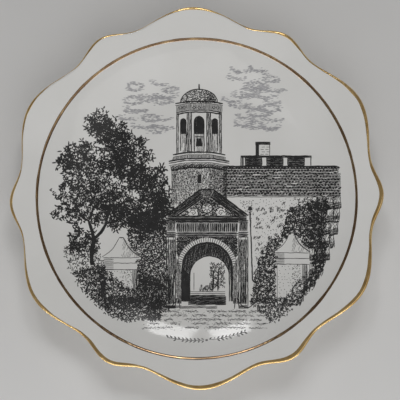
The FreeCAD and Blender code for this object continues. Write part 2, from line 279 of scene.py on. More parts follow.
def bump(tree, shader, height, distance, strength, under):
    """Raises the surface by a height, up to a distance in metres, over a coarser bump."""
    node = tree.nodes.new("ShaderNodeBump")
    node.inputs["Distance"].default_value = distance
    node.inputs["Strength"].default_value = strength
    tree.links.new(height, node.inputs["Height"])
    if under is not None:
        tree.links.new(under.outputs["Normal"], node.inputs["Normal"])
    tree.links.new(node.outputs["Normal"], shader.inputs["Normal"])
    return node


def new_material(name, grain, stops, bumps, **values):
    """A shader with plain values on its own sockets and colours that follow a noise. The grain is
    the noise's scale and detail; a bump is its own noise's, then its distance and strength."""
    material = bpy.data.materials.new(name)
    material.use_nodes = True
    tree, under = material.node_tree, None
    shader = tree.nodes["Principled BSDF"]
    for socket, value in values.items():
        shader.inputs[socket].default_value = value
    ramp(tree, noise(tree, *grain), shader.inputs["Base Color"], *stops)
    for scale, detail, distance, strength in bumps:
        under = bump(tree, shader, noise(tree, scale, detail), distance, strength, under)
    return material


def glaze_material():
    return new_material("white_glaze", (45, 4), ((0.3, (0.80, 0.80, 0.785)), (0.7, (0.84, 0.84, 0.83))),
                        ((60, 1, 0.0004, 0.35), (900, 2, 0.00002, 0.3)), Roughness=0.09, IOR=1.5)


def biscuit_material():
    return new_material("biscuit", (700, 4), ((0.3, (0.62, 0.58, 0.52)), (0.75, (0.78, 0.75, 0.70))),
                        ((2500, 3, 0.00008, 0.7),), Roughness=0.8)


def gold_material(name, deep, middle, bright):
    material = new_material(name, (160, 4), ((0.25, deep), (0.6, middle), (0.85, bright)),
                            ((350, 2, 0.00012, 0.5), (2600, 3, 0.00002, 0.4)), Metallic=1.0)
    tree = material.node_tree
    roughness = tree.nodes["Principled BSDF"].inputs["Roughness"]
    ramp(tree, noise(tree, 400, 3), roughness, (0.3, 0.11), (0.8, 0.28))
    return material


def ink_material(name, *greys):
    """Ink of two tones of a faintly blue grey."""
    dark, light = ((grey, grey, grey * 1.05) for grey in greys)
    return new_material(name, (500, 3), ((0.3, dark), (0.75, light)), ((5000, 2, 0.00001, 0.4),),
                        Roughness=0.28, IOR=1.5)


def floor_material():
    return new_material("pale_floor", (12, 3), ((0.3, 0.72), (0.7, 0.76)), (), Roughness=0.75)


# ---- china ----
def make_well(glaze):
    radii = [0, *np.linspace(2, 38, 10), *np.linspace(40, COVE_END.real, 60), VERGE_MIDDLE]
    rings = [lifted(circle(radius), top_height) for radius in radii]
    return closed_band("well_skin", rings, GLAZE, glaze, ["well_glaze"])


def make_rim(glaze):
    start, flat_end = circle(VERGE_MIDDLE), outline(LIP_REACH)
    rings = [lifted(start + (flat_end - start) * share, top_height)
             for share in (0, 0.02, 0.04, 0.06, 0.1, 0.2, 0.35, 0.5, 0.7, 0.85, 0.95)]
    rings += [lip_ring(path) for path in np.linspace(0, math.pi / 2, 10)]
    return closed_band("rim_skin", rings, GLAZE, glaze, ["rim_glaze"])


def make_back(glaze):
    outer, middle = UNDER_ROUND_OUT.real + 1.0, FOOT_ROUND_OUT.real
    inner, flat_start = circle(outer), outline(LIP_REACH)
    rings = [lip_ring(path) for path in np.linspace(math.pi / 2, math.pi, 10)]
    rings += [lifted(flat_start + (inner - flat_start) * share, under_height)
              for share in (0.1, 0.3, 0.5, 0.7, 0.9)]
    bottom = FOOT_CONTACT[1] + GLAZE_STOP_Z * math.tan(FOOT_DRAFT)
    radii = [*np.linspace(outer, middle, 70), *np.linspace(middle, bottom, 16)[1:]]
    rings += [lifted(circle(radius), under_height) for radius in radii]
    return closed_band("back_skin", rings, GLAZE, glaze, ["back_glaze"])


def make_foot_well(glaze):
    """The base inside the foot ring, from its bare edge in to the axis."""
    lean = math.tan(FOOT_DRAFT)
    corner = FOOT_CONTACT[0] - BASE_UNDER_Z * lean
    round_reach = FOOT_ROOT_ROUND * math.tan((math.pi / 2 - FOOT_DRAFT) / 2)
    centre = complex(corner - round_reach, BASE_UNDER_Z - FOOT_ROOT_ROUND)
    points = [complex(FOOT_CONTACT[0] - height * lean, height)
              for height in np.linspace(GLAZE_STOP_Z, BASE_UNDER_Z - round_reach, 4)]
    for turn in np.linspace(FOOT_DRAFT, math.pi / 2, 8):
        points.append(centre + FOOT_ROOT_ROUND * complex(math.cos(turn), math.sin(turn)))
    points += [complex(radius, BASE_UNDER_Z) for radius in np.linspace(centre.real, 0, 12)[1:]]
    rings = [np.column_stack([circle(point.real), np.full(SEGMENTS, point.imag)]) for point in points]
    return closed_band("foot_well_skin", rings[::-1], -GLAZE, glaze, ["foot_well_glaze"])


# ---- gilding ----
GOLD_RISE, GOLD_SINK = 0.05, 0.012  # over the glaze along its middle, and into it at its edges
GOLD_DEPTH = 0.1
LIP_GOLD_WIDTH = 1.3                # mean width on the upper side
LIP_GOLD_SWELL = 0.35               # more on every lobe, less between them
LIP_GOLD_LEAN = 0.65                # more on the heavy side, less opposite
LIP_GOLD_UNDER = 0.5                # mean width on the underside
HEAVY_SIDE = math.radians(-55.0)    # where the gold is widest
VERGE_GOLD_HALF = 0.6


def wander(rng, size, waves):
    """A slow, closed, uneven wave round the plate, as a hand leaves it."""
    total = np.zeros(SEGMENTS)
    for count in range(*waves):
        total += rng.uniform(0.4, 1.0) * np.cos(count * ANGLES + rng.uniform(0, 2 * math.pi))
    return total * size / np.abs(total).max()


def path_for_inset(inset):
    """Where the lip's path, on its upper side, lies this far in from the outline."""
    turn = np.arccos(np.clip(1 - inset / LIP_REACH, -1, 1))
    return np.where(inset > LIP_REACH, LIP_REACH - inset, math.pi / 2 - turn)


def gold_band(name, rings, gold, node):
    """Gold laid along rings of the glaze, with its edges sunk a little into it."""
    rings = np.array(rings)
    steps = np.linspace(0, 1, len(rings))
    raised = GOLD_RISE * np.sqrt(np.sin(math.pi * steps)) - GOLD_SINK
    rings = rings + surface_normals(rings) * raised[:, None, None]
    return closed_band(name, rings, GOLD_DEPTH, gold, [node])


def make_lip_gold(gold):
    rng = np.random.default_rng(5)
    lobes = LIP_GOLD_SWELL * np.cos(2 * LOBE_PAIRS * (ANGLES - LOBE_TURN))
    heavy = LIP_GOLD_LEAN * np.cos(ANGLES - HEAVY_SIDE)
    hand = wander(rng, 0.2, (5, 30)) + wander(rng, 0.1, (40, 70))
    start = path_for_inset(np.maximum(LIP_GOLD_WIDTH + lobes + heavy + hand, 0.2))
    end = math.pi + LIP_GOLD_UNDER + wander(rng, 0.25, (5, 40))
    rings = [lip_ring(start + (end - start) * step) for step in np.linspace(0, 1, 25)]
    return gold_band("lip_gold", rings, gold, "rim_gilding")


def make_verge_gold(gold):
    rng = np.random.default_rng(8)
    middle = VERGE_MIDDLE + wander(rng, 0.06, (2, 9))
    half = VERGE_GOLD_HALF + wander(rng, 0.1, (4, 30)) + wander(rng, 0.05, (40, 80))
    rings = [lifted(circle(1.0) * (middle + half * (2 * step - 1))[:, None], top_height)
             for step in np.linspace(0, 1, 13)]
    return gold_band("verge_gold", rings, gold, "verge_line")


# ---- engraving ----
# The view is drawn in millimetres, x to the right and y up. Angles of strokes are in degrees.
STEP = 1.4                          # longest straight run of a stroke
CURVE_STEPS = 6                     # parts of a soft curve from one point to the next
TAPER = 0.75                        # width of a stroke's two ends, to the rest
DASH, DASH_GAP = (0.6, 3.0), 0.1    # lengths of the parts of a broken line, and their gap
VIEW_REACH = 63.4                   # about how far from the axis the view is printed
INK_RISE = (0.018, 0.034)           # how far strokes stand above the glaze
INK_ROOT = 0.05                     # how far they reach into it
FINE, THIN, MEDIUM, BOLD = 0.17, 0.26, 0.42, 0.62       # widths of strokes


def direction(turn):
    """A step of 1 in the plane that way, or a row of steps for a row of turns."""
    return np.stack([np.cos(turn), np.sin(turn)], axis=-1)


def ring(centre, radius, count, squash=1.0):
    """Points evenly round a circle, or round one that is squashed in height."""
    turns = np.linspace(0, 2 * math.pi, count, endpoint=False)
    return centre + radius * direction(turns) * (1, squash)


def inside(places, region):
    """Which of these places lie within a closed region."""
    region = np.asarray(region, float)
    result = np.zeros(len(places), bool)
    x, y = places[:, 0], places[:, 1]
    for start, end in zip(region, np.roll(region, -1, axis=0)):
        crosses = (start[1] > y) != (end[1] > y)
        if start[1] != end[1]:
            edge_x = start[0] + (y - start[1]) * (end[0] - start[0]) / (end[1] - start[1])
            result ^= crosses & (x < edge_x)
    return result


def clear_of(places, regions):
    """Those places that lie outside every one of the regions."""
    for region in regions:
        places = places[~inside(places, region)]
    return places


def resampled(points, step):
    """Points no farther than a step apart along straight runs."""
    points = np.asarray(points, float)
    runs = np.hypot(*np.diff(points, axis=0).T)
    reach = np.concatenate([[0], np.cumsum(runs)])
    places = np.linspace(0, reach[-1], max(2, math.ceil(reach[-1] / step) + 1))
    return np.column_stack([np.interp(places, reach, points[:, axis]) for axis in (0, 1)])


def smooth(points, closed=False):
    """A soft curve through a few points."""
    points = [np.asarray(point, float) for point in points]
    if closed:
        points = [points[-1], *points, points[0], points[1]]
    else:
        points = [2 * points[0] - points[1], *points, 2 * points[-1] - points[-2]]
    share = np.linspace(0, 1, CURVE_STEPS, endpoint=False)[:, None]
    curve = []
    for before, start, end, after in zip(points, points[1:], points[2:], points[3:]):
        bend = (2 * before - 5 * start + 4 * end - after) * share ** 2
        twist = (3 * start - before - 3 * end + after) * share ** 3
        curve.extend((2 * start + (end - before) * share + bend + twist) / 2)
    return curve + [points[-2]]


class Ink:
    """The strokes of one patch of the view. Each is a ribbon, flat above and keeled below."""

    def __init__(self, seed):
        self.rng = np.random.default_rng(seed)
        self.groups = {}

    def add(self, places, widths):
        """Strokes of one number of points: places (strokes, points, 2), widths (strokes, points)."""
        self.groups.setdefault(places.shape[1], []).append((places, widths))

    def line(self, points, width, wobble=0.05):
        """One stroke through the points, drawn by a hand that is not quite steady. It stops at
        the view's edge."""
        places = resampled(points, STEP)
        places = places[np.hypot(*places.T) < VIEW_REACH]
        count = len(places)
        if count < 2:
            return
        shake = self.rng.normal(0, wobble, (count, 2))
        shake[[0, -1]] *= 0.4
        widths = width * self.rng.uniform(0.82, 1.12, count)
        widths[[0, -1]] *= TAPER
        self.add((places + shake)[None], widths[None])

    def lines(self, points, width, closed=False, wobble=0.05):
        """Straight strokes from corner to corner."""
        points = list(points) + ([points[0]] if closed else [])
        for start, end in zip(points, points[1:]):
            self.line([start, end], width, wobble)

    def curve(self, points, width, closed=False, wobble=0.03):
        self.line(smooth(points, closed), width, wobble)

    def hatch(self, region, angle, spacing, width, breaks=0.0, wobble=0.04):
        """Parallel strokes across a region; breaks is the share of them that is left out."""
        along = direction(math.radians(angle))
        across = np.array([-along[1], along[0]])
        region = np.asarray(region, float)
        u, v = region @ along, region @ across
        u_run, v_run = np.roll(u, -1) - u, np.roll(v, -1) - v
        for level in np.arange(v.min() + spacing / 2, v.max(), spacing):
            level += self.rng.uniform(-0.15, 0.15) * spacing
            cut = (v > level) != (np.roll(v, -1) > level)
            cuts = np.sort(u[cut] + u_run[cut] * ((level - v[cut]) / v_run[cut]))
            for low, high in zip(cuts[::2], cuts[1::2]):
                self.dashes(low, high, level, along, across, width, breaks, wobble)

    def dashes(self, low, high, level, along, across, width, breaks, wobble):
        """One line of a hatch, whole or broken up at random."""
        start = low
        while start < high - DASH_GAP / 2:
            length = self.rng.uniform(*DASH) if breaks else high - start
            end = min(start + length, high)
            if not breaks or self.rng.random() > breaks:
                self.line([along * start + across * level, along * end + across * level],
                          width, wobble)
            start = end + (DASH_GAP if breaks else 0)

    def solid(self, region):
        """A region filled with ink."""
        self.hatch(region, 90, 0.3, 0.4, wobble=0.015)
        self.lines(region, 0.3, closed=True, wobble=0.01)

    def scatter(self, region, spacing):
        """Places strewn evenly over a region."""
        region = np.asarray(region, float)
        low, high = region.min(axis=0), region.max(axis=0)
        x, y = np.meshgrid(np.arange(low[0], high[0], spacing), np.arange(low[1], high[1], spacing))
        places = np.column_stack([x.ravel(), y.ravel()])
        places += self.rng.uniform(-0.5, 0.5, places.shape) * spacing
        return places[inside(places, region)]

    def marks(self, places, angle, length, width, bend=0.0, spread=0.0, lens=True):
        """Short strokes; spread is how far their angles differ, bend how far they curve."""
        ragged = self.rng.normal(-0.5, 0.9, len(places)).clip(-3, 0.6)
        within = np.hypot(*places.T) < VIEW_REACH + ragged
        angle = np.broadcast_to(angle, len(places))[within]
        places = places[within]
        count = len(places)
        if not count:
            return
        rng = self.rng
        turn = np.radians(angle + rng.uniform(-spread, spread, count))
        length = length * rng.uniform(0.7, 1.3, count)
        width = width * rng.uniform(0.75, 1.25, count)
        bend = bend * rng.uniform(-1, 1, count)
        steps = np.array([-0.5, -0.17, 0.17, 0.5])
        along = direction(turn)
        across = np.stack([-along[:, 1], along[:, 0]], axis=-1)
        run = steps[None, :, None] * length[:, None, None] * along[:, None, :]
        sag = (0.25 - steps ** 2)[None, :, None] * (bend * length)[:, None, None] * across[:, None, :]
        profile = np.array([0.3, 1.0, 1.0, 0.3]) if lens else np.array([0.9, 1.0, 1.0, 0.9])
        self.add(places[:, None, :] + run + sag, width[:, None] * profile)

    def stipple(self, region, spacing, size, angle):
        """Blunt flecks strewn over a region."""
        self.marks(self.scatter(region, spacing), angle, size * 1.6, size, 0.1, 40, lens=False)

    def leaves(self, places, size, count, width):
        """A tuft of small leaves at each place."""
        for leaf in range(count):
            turn = 360 * (leaf + self.rng.uniform(0, 1, len(places))) / count
            reach = size * self.rng.uniform(0.35, 0.75, len(places))
            self.marks(places + direction(np.radians(turn)) * reach[:, None], turn, size, width, 0.35, 25)

    def foliage(self, region, spacing, size, width, gaps=()):
        """Tufts of leaves all over a region, except in its gaps."""
        self.leaves(clear_of(self.scatter(region, spacing), gaps), size, 4, width)

    def soft_line(self, points, spread, spacing, width):
        """A band of short fine strokes along a curve."""
        curve = resampled(smooth(points), spacing)
        heading = np.degrees(np.arctan2(*np.gradient(curve, axis=0).T[::-1]))
        for _ in range(3):
            places = curve + self.rng.normal(0, spread / 2, curve.shape)
            self.marks(places, heading, 0.8, width, 0.2, 18)

    def laid(self, name, material, replaced):
        """Gathers the strokes into one piece on the surface of the well."""
        vertices, faces, base = [], [], 0
        for count, group in self.groups.items():
            places = np.concatenate([entry[0] for entry in group])
            widths = np.concatenate([entry[1] for entry in group])[..., None] / 2
            run = np.gradient(places, axis=1)
            run /= np.maximum(np.linalg.norm(run, axis=2, keepdims=True), 1e-9)
            side = np.stack([-run[..., 1], run[..., 0]], axis=-1) * widths
            rise = self.rng.uniform(*INK_RISE, (len(places), 1))
            rows = []
            for flat, lift in ((places + side, rise), (places - side, rise), (places, -INK_ROOT)):
                height = top_height(np.hypot(flat[..., 0], flat[..., 1])) + lift
                rows.append(np.concatenate([flat, height[..., None]], axis=2))
            block = np.stack(rows, axis=2).reshape(-1, 3)
            vertices.append(block)
            faces += ribbon_faces(len(places), count, base)
            base += len(block)
        return add_piece(name, np.concatenate(vertices), faces, material, replaced, False)


def ribbon_faces(strokes, count, base):
    """Faces of ribbons whose vertices come in threes: left, right and keel."""
    starts = base + 3 * (np.arange(strokes)[:, None] * count + np.arange(count - 1)[None, :]).ravel()
    left, right, keel = starts, starts + 1, starts + 2
    faces = np.concatenate([
        np.column_stack([right, right + 3, left + 3, left]),
        np.column_stack([keel, keel + 3, right + 3, right]),
        np.column_stack([keel + 3, keel, left, left + 3]),
    ]).tolist()
    first = base + 3 * count * np.arange(strokes)
    last = first + 3 * (count - 1)
    caps = [np.column_stack([first, first + 2, first + 1]), np.column_stack([last + 1, last + 2, last])]
    return faces + np.concatenate(caps).tolist()


# ---- the view ----
BULGES, BULGE_DEPTH = 9, 0.05           # round an oval


class Patch:
    """A patch of the view. Places in it are shares of its box, from its lower left corner."""

    def __init__(self, node):
        low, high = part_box(node)
        self.low = np.array(low)[:2] / MM
        self.size = np.array(high)[:2] / MM - self.low

    def at(self, across, up):
        return self.low + self.size * (across, up)

    def path(self, *places):
        """The corners of a region, or the points of a stroke."""
        return [self.at(across, up) for across, up in places]

    def side_path(self, side, *places):
        """A path left (-1) or right (1) of the middle; places are reach from it and height."""
        return [self.at(0.5 + side * reach, up) for reach, up in places]

    def block(self, left, right, foot, top):
        return self.path((left, foot), (right, foot), (right, top), (left, top))

    def profile(self, *steps):
        """A region that is the same on both sides: half widths and heights from the foot up."""
        return self.side_path(1, *steps) + self.side_path(-1, *reversed(steps))

    def arch(self, middle, half, foot, spring):
        """A round-headed opening."""
        turns = np.linspace(0, math.pi, 13)
        head = list(self.at(middle, spring) + half * self.size[0] * direction(turns))
        base = self.at(middle, foot)[1]
        return [np.array([head[0][0], base]), *head, np.array([head[-1][0], base])]

    def oval(self, share, lean=0.0, slim=1.0):
        """A bulging oval round the patch's middle."""
        turns = np.linspace(0, 2 * math.pi, 6 * BULGES, endpoint=False)
        swell = share * (1 + BULGE_DEPTH * np.cos(BULGES * turns)) / 2
        x, y = (self.size * (1, slim) * direction(turns)).T * swell
        return self.at(0.5, 0.5) + np.stack([x * math.cos(lean) - y * math.sin(lean),
                                             x * math.sin(lean) + y * math.cos(lean)], axis=-1)


TOWER = Patch("print_bell_tower")
GATE = Patch("print_gatehouse")
RANGE = Patch("print_tiled_range")
LEFT_PIER = Patch("print_left_pier")
RIGHT_PIER = Patch("print_right_pier")
TREE = Patch("print_tree")
HEDGE = Patch("print_hedge")
ROAD = Patch("print_road")
LEFT_CLOUD = Patch("print_left_cloud")
RIGHT_CLOUD = Patch("print_right_cloud")
CAPTION = Patch("print_caption")

TOWER_OUTLINE = TOWER.profile((0.45, 0.0), (0.45, 0.31), (0.5, 0.37), (0.39, 0.43), (0.39, 0.85),
                              (0.2, 0.95), (0.03, 1.0))
GATE_OUTLINE = GATE.profile((0.5, 0.0), (0.5, 0.77), (0.08, 1.0))
LEFT_PIER_OUTLINE = LEFT_PIER.profile((0.41, 0.0), (0.41, 0.6), (0.5, 0.67), (0.05, 1.0))
RIGHT_PIER_OUTLINE = RIGHT_PIER.profile((0.41, 0.0), (0.41, 0.66), (0.5, 0.73), (0.05, 1.0))
BUILT = (TOWER_OUTLINE, GATE_OUTLINE, LEFT_PIER_OUTLINE, RIGHT_PIER_OUTLINE)


def draw_rows(ink, patch, left, right, *rows):
    """Level strokes across a patch; each row is (height, width of the stroke)."""
    for up, width in rows:
        ink.line(patch.path((left, up), (right, up)), width)


def draw_uprights(ink, patch, side, foot, top, *columns):
    """Upright strokes left (-1) or right (1) of a patch's middle; each is (reach, width)."""
    for reach, width in columns:
        ink.line(patch.side_path(side, (reach, foot), (reach, top)), width)


def draw_rays(ink, centre, turns, near, far, width):
    """Strokes that point away from a centre."""
    for outward in direction(turns):
        ink.line([centre + outward * near, centre + outward * far], width)


def hatch_blocks(ink, patch, *blocks):
    """Hatched blocks: each has its left, right, foot and top, then the values of its hatch."""
    for left, right, foot, top, *values in blocks:
        ink.hatch(patch.block(left, right, foot, top), *values)


# ---- the bell tower: it has eight sides, and its front face is square to the reader ----
FRONT_FACE = math.tan(math.pi / 8)      # half the front face, in half widths of the tower
# half widths of the stages, in shares: they keep just inside the patch's own outline
DRUM_HALF, CORNICE_HALF, BELFRY_HALF, PARAPET_HALF, DOME_HALF = 0.44, 0.49, 0.36, 0.385, 0.3
COURSE_FALL = 0.05                      # how far a course falls away on the side faces


def draw_bell_tower(ink):
    draw_dome(ink)
    draw_parapet(ink)
    draw_belfry(ink)
    draw_cornice(ink)
    draw_drum(ink)


def tower_course(half, up):
    """A level course round the tower, seen from below: its sides fall away from the front."""
    front, end = (half * FRONT_FACE, up), (half, up - half * COURSE_FALL)
    return TOWER.side_path(-1, end, front) + TOWER.side_path(1, front, end)


def draw_tower_courses(ink, half, *rows):
    for up, width in rows:
        ink.lines(tower_course(half, up), width)


def hatch_tower_band(ink, low, high, *values):
    """Hatches the band between two courses, each given by its half width and its height."""
    ink.hatch(tower_course(*low) + tower_course(*high)[::-1], *values)


def draw_dome(ink):
    """A ribbed dome, shaded on its right, under a short finial."""
    turns = np.linspace(0, math.pi, 17)
    foot, rise = 0.85, 0.11
    for share, width in ((1, MEDIUM), (0.72, FINE), (0.36, FINE)):      # the edge, then the ribs
        ink.line(TOWER.path(*direction(turns) * (DOME_HALF * share, rise) + (0.5, foot)), width)
    ink.stipple(TOWER.path(*direction(turns) * (DOME_HALF, rise) + (0.5, foot)), 0.55, 0.34, 30)
    shaded = TOWER.path((0.56, foot), (0.5 + DOME_HALF, foot), (0.7, foot + 0.8 * rise))
    ink.hatch(shaded, 60, 0.42, THIN)
    ink.line(TOWER.path((0.5, 0.955), (0.5, 1.0)), 0.7)


def draw_parapet(ink):
    """The band between dome and belfry, with a roundel on each panel."""
    draw_tower_courses(ink, PARAPET_HALF, (0.862, BOLD), (0.847, THIN))
    draw_tower_courses(ink, PARAPET_HALF - 0.02, (0.79, MEDIUM), (0.775, BOLD))
    hatch_tower_band(ink, (PARAPET_HALF - 0.01, 0.79), (PARAPET_HALF - 0.01, 0.845), 88, 0.42, 0.24)
    side = PARAPET_HALF * (1 + FRONT_FACE) / 2          # the middle of a side face
    for across in (-side - 0.03, -side + 0.03, -0.08, 0, 0.08, side - 0.03, side + 0.03):
        ink.curve(ring(TOWER.at(0.5 + across, 0.812), 0.7, 8), THIN, closed=True)


def draw_belfry(ink):
    """Slender pillars with a round-headed opening in each face; a bell hangs in the front one."""
    half, foot, top = BELFRY_HALF, 0.44, 0.775
    front = half * FRONT_FACE
    sill, spring = 0.6, 0.7
    side_middle = (half + front) / 2
    for middle, reach in ((0.5, 0.08), (0.5 - side_middle, 0.045), (0.5 + side_middle, 0.045)):
        ink.solid(TOWER.arch(middle, reach, sill, spring))
        ink.line(TOWER.arch(middle, reach, foot + 0.02, spring), MEDIUM)
        ink.hatch(TOWER.block(middle - reach, middle + reach, foot, sill), 88, 0.55, THIN, 0.2)
    ink.solid(TOWER.path((0.45, 0.5), (0.55, 0.5), (0.535, 0.56), (0.465, 0.56)))       # the bell
    draw_rows(ink, TOWER, 0.43, 0.57, (0.575, MEDIUM))
    for side in (-1, 1):
        draw_uprights(ink, TOWER, side, foot, top, (half, MEDIUM), (half - 0.025, THIN),
                      (front + 0.03, MEDIUM), (front, THIN), (front - 0.025, MEDIUM))
    corner = half - front
    for side, near, far, spacing in ((-1, 0.0, 0.03, 0.4), (-1, corner - 0.05, corner + 0.03, 0.42),
                                     (1, corner - 0.05, corner + 0.03, 0.36), (1, 0.0, 0.04, 0.3)):
        left, right = sorted((0.5 + side * (half - near), 0.5 + side * (half - far)))
        ink.hatch(TOWER.block(left, right, foot, top), 88, spacing, 0.22, 0.12)


def draw_cornice(ink):
    """Courses that step out over the drum, on a row of brackets."""
    top_half, foot_half = (CORNICE_HALF + BELFRY_HALF) / 2, DRUM_HALF + 0.01
    draw_tower_courses(ink, top_half, (0.45, BOLD), (0.43, THIN))
    draw_tower_courses(ink, CORNICE_HALF, (0.4, BOLD), (0.385, MEDIUM), (0.365, THIN))
    draw_tower_courses(ink, foot_half, (0.325, 0.8))
    hatch_tower_band(ink, (top_half + 0.02, 0.4), (top_half, 0.43), 88, 0.42, THIN)
    hatch_tower_band(ink, (foot_half, 0.325), (foot_half + 0.02, 0.36), 30, 0.4, 0.3)
    for foot in resampled(tower_course(foot_half, 0.33), 1.05):
        ink.line([foot, foot + (0, 0.9)], 0.45)


def draw_drum(ink):
    """Small stones, darker on the right-hand face, with one slit window."""
    drum = TOWER.profile((DRUM_HALF, 0.02), (DRUM_HALF, 0.3), (DRUM_HALF * FRONT_FACE, 0.325))
    ink.hatch(drum, 84, 0.4, 0.2, 0.25, 0.06)
    ink.stipple(drum, 0.8, 0.34, 5)
    hatch_blocks(ink, TOWER, (0.68, 0.94, 0.02, 0.31, 70, 0.44, 0.24, 0.1),
                 (0.06, 0.14, 0.02, 0.3, 88, 0.5, 0.2, 0.2))
    ink.solid(TOWER.block(0.48, 0.53, 0.2, 0.27))
    for side, width in ((-1, THIN), (1, MEDIUM)):
        draw_uprights(ink, TOWER, side, 0.0, 0.31, (DRUM_HALF, width))


# ---- the gatehouse ----
FRIEZE_FOOT = 0.6                       # shares of the gate's height and width
ARCH_FOOT = 0.06
ARCH_HALF = 0.3
ARCH_DEPTH = 0.8                        # how large the arch's far face is drawn, to its near face
ARCH_STONES = 2.5                       # length of the stones round it, in millimetres
SCROLL_REACH = 0.17
FLUTES = 30


def draw_gatehouse(ink):
    draw_pediment(ink)
    draw_frieze(ink)
    draw_arch(ink)
    draw_way_through(ink)
    draw_pilasters(ink)
    draw_chains(ink)


def draw_pediment(ink):
    """Two raking mouldings, with a rosette between scrolls in the field under them."""
    for side in (-1, 1):
        outer = GATE.side_path(side, (0.08, 1.0), (0.5, 0.78))
        inner = GATE.side_path(side, (0.05, 0.93), (0.36, 0.775))
        ink.hatch(outer + inner[::-1], -side * 35, 0.34, 0.34)
        ink.line(outer, BOLD)
        ink.line(inner, MEDIUM)
        draw_scroll(ink, GATE.at(0.5 + side * SCROLL_REACH, 0.805), side)
    draw_rows(ink, GATE, 0.42, 0.58, (1.0, BOLD))
    ink.hatch(GATE.block(0.44, 0.56, 0.93, 0.995), 0, 0.42, THIN)
    centre = GATE.at(0.5, 0.845)
    draw_rays(ink, centre, np.linspace(0, 2 * math.pi, 8, endpoint=False), 0.6, 1.9, 0.5)
    rosette = ring(centre, 2.3, 14)
    ink.curve(rosette, MEDIUM, closed=True)
    field = GATE.path((0.16, 0.78), (0.84, 0.78), (0.5, 0.94))
    scrolls = [GATE.block(middle - 0.05, middle + 0.05, 0.78, 0.835)
               for middle in (0.5 - SCROLL_REACH, 0.5 + SCROLL_REACH)]
    dots = clear_of(ink.scatter(field, 0.5), [rosette, *scrolls])
    ink.marks(dots, 20, 0.6, 0.42, 0.1, 40, lens=False)


def draw_scroll(ink, centre, side):
    """A small spiral."""
    turns = np.linspace(0, 3 * math.pi, 16)
    reach = 1.5 * (1 - turns / (3.6 * math.pi))
    ink.line(centre + reach[:, None] * direction(turns) * (side, 1), 0.34)


def draw_frieze(ink):
    """A row of plain flutes between mouldings, with a moulded block at each end."""
    draw_rows(ink, GATE, 0.02, 0.98, (0.775, BOLD), (0.755, THIN), (0.745, THIN))
    draw_rows(ink, GATE, 0.12, 0.88, (0.725, MEDIUM), (0.63, MEDIUM), (0.615, THIN))
    for flute, across in enumerate(np.linspace(0.14, 0.86, FLUTES)):
        foot = GATE.at(across, 0.645)
        ink.line([foot, foot + (0, 3.6)], 0.62 if flute % 2 else 0.4)
    for side in (-1, 1):
        inner, middle, outer = 0.5 + side * 0.38, 0.5 + side * 0.39, 0.5 + side * 0.49
        ink.hatch(GATE.block(outer, inner, 0.595, 0.64), 0, 0.4, 0.27)
        draw_rows(ink, GATE, inner, 0.5 + side * 0.5,
                  *((up, MEDIUM) for up in (0.74, 0.72, 0.64, 0.62, FRIEZE_FOOT)))
        ink.hatch(GATE.block(outer, middle, 0.65, 0.735), 88, 0.36, 0.3)


def draw_arch(ink):
    """The gate's arch: radial stones, a shaded soffit and a dark reveal on the left."""
    radius = ARCH_HALF * GATE.size[0]
    spring = FRIEZE_FOOT - (radius + ARCH_STONES) / GATE.size[1]
    outer = GATE.arch(0.5, ARCH_HALF, ARCH_FOOT, spring)
    inner = GATE.arch(0.53, ARCH_HALF * ARCH_DEPTH, ARCH_FOOT, spring * ARCH_DEPTH)
    centre = GATE.at(0.5, spring)
    stones = np.linspace(0.06, math.pi - 0.06, 38)
    draw_rays(ink, centre, stones, radius + 0.4, radius + ARCH_STONES - 0.4, 0.3)
    ink.line(centre + (radius + ARCH_STONES - 0.2) * direction(np.linspace(0, math.pi, 24)), THIN)
    ink.line(outer, 0.95)
    ink.line(inner, MEDIUM)
    soffit = outer[1:-1] + inner[-2:0:-1]
    ink.hatch(soffit, 80, 0.32, 0.32)
    ink.hatch(soffit, 20, 0.5, 0.22)
    ink.solid([inner[-1], inner[-2], outer[-2], outer[-1]])
    ink.hatch([outer[0], outer[1], inner[1], inner[0]], 88, 0.4, FINE)
    hatch_blocks(ink, GATE, (0.02, 0.98, 0.73, 0.772, 0, 0.34, 0.28),
                 (0.14, 0.86, FRIEZE_FOOT, 0.64, 0, 0.36, 0.27),
                 (0.13, 0.87, 0.645, 0.72, 88, 0.4, 0.26), (0.12, 0.88, 0.725, 0.75, 0, 0.34, 0.28))
    for side in (-1, 1):
        stones_edge = direction(np.linspace(0, 1.2, 8))[:, ::-1] * (side, 1) * (radius + ARCH_STONES)
        spandrel = [GATE.at(0.5, FRIEZE_FOOT), *(centre + stones_edge),
                    *GATE.side_path(side, (0.37, spring + 0.1), (0.37, FRIEZE_FOOT))]
        ink.stipple(spandrel, 0.44, 0.42, 30)
        jamb = GATE.side_path(side, (0.375, 0.04), (0.31, 0.04), (0.31, spring), (0.375, spring + 0.09))
        ink.hatch(jamb, 88, 0.38, 0.32, 0.06)
        ink.hatch(spandrel, side * 50, 0.6, 0.32)


def draw_way_through(ink):
    """Trees and a yard seen through the gate, with shade across the sill."""
    ink.foliage(GATE.block(0.54, 0.71, 0.17, 0.38), 0.95, 0.7, 0.3)
    for across in (0.57, 0.63):
        ink.line(GATE.path((across, 0.15), (across + 0.01, 0.32)), 0.6)
    ink.foliage(GATE.block(0.42, 0.6, 0.15, 0.19), 0.8, 0.6, 0.28)
    ink.line(GATE.path((0.34, 0.15), (0.34, 0.3)), THIN)
    draw_rows(ink, GATE, 0.28, 0.72, (0.14, THIN), (0.125, THIN), (0.11, MEDIUM))
    ink.hatch(GATE.block(0.27, 0.73, 0.03, 0.105), 2, 0.32, 0.34)


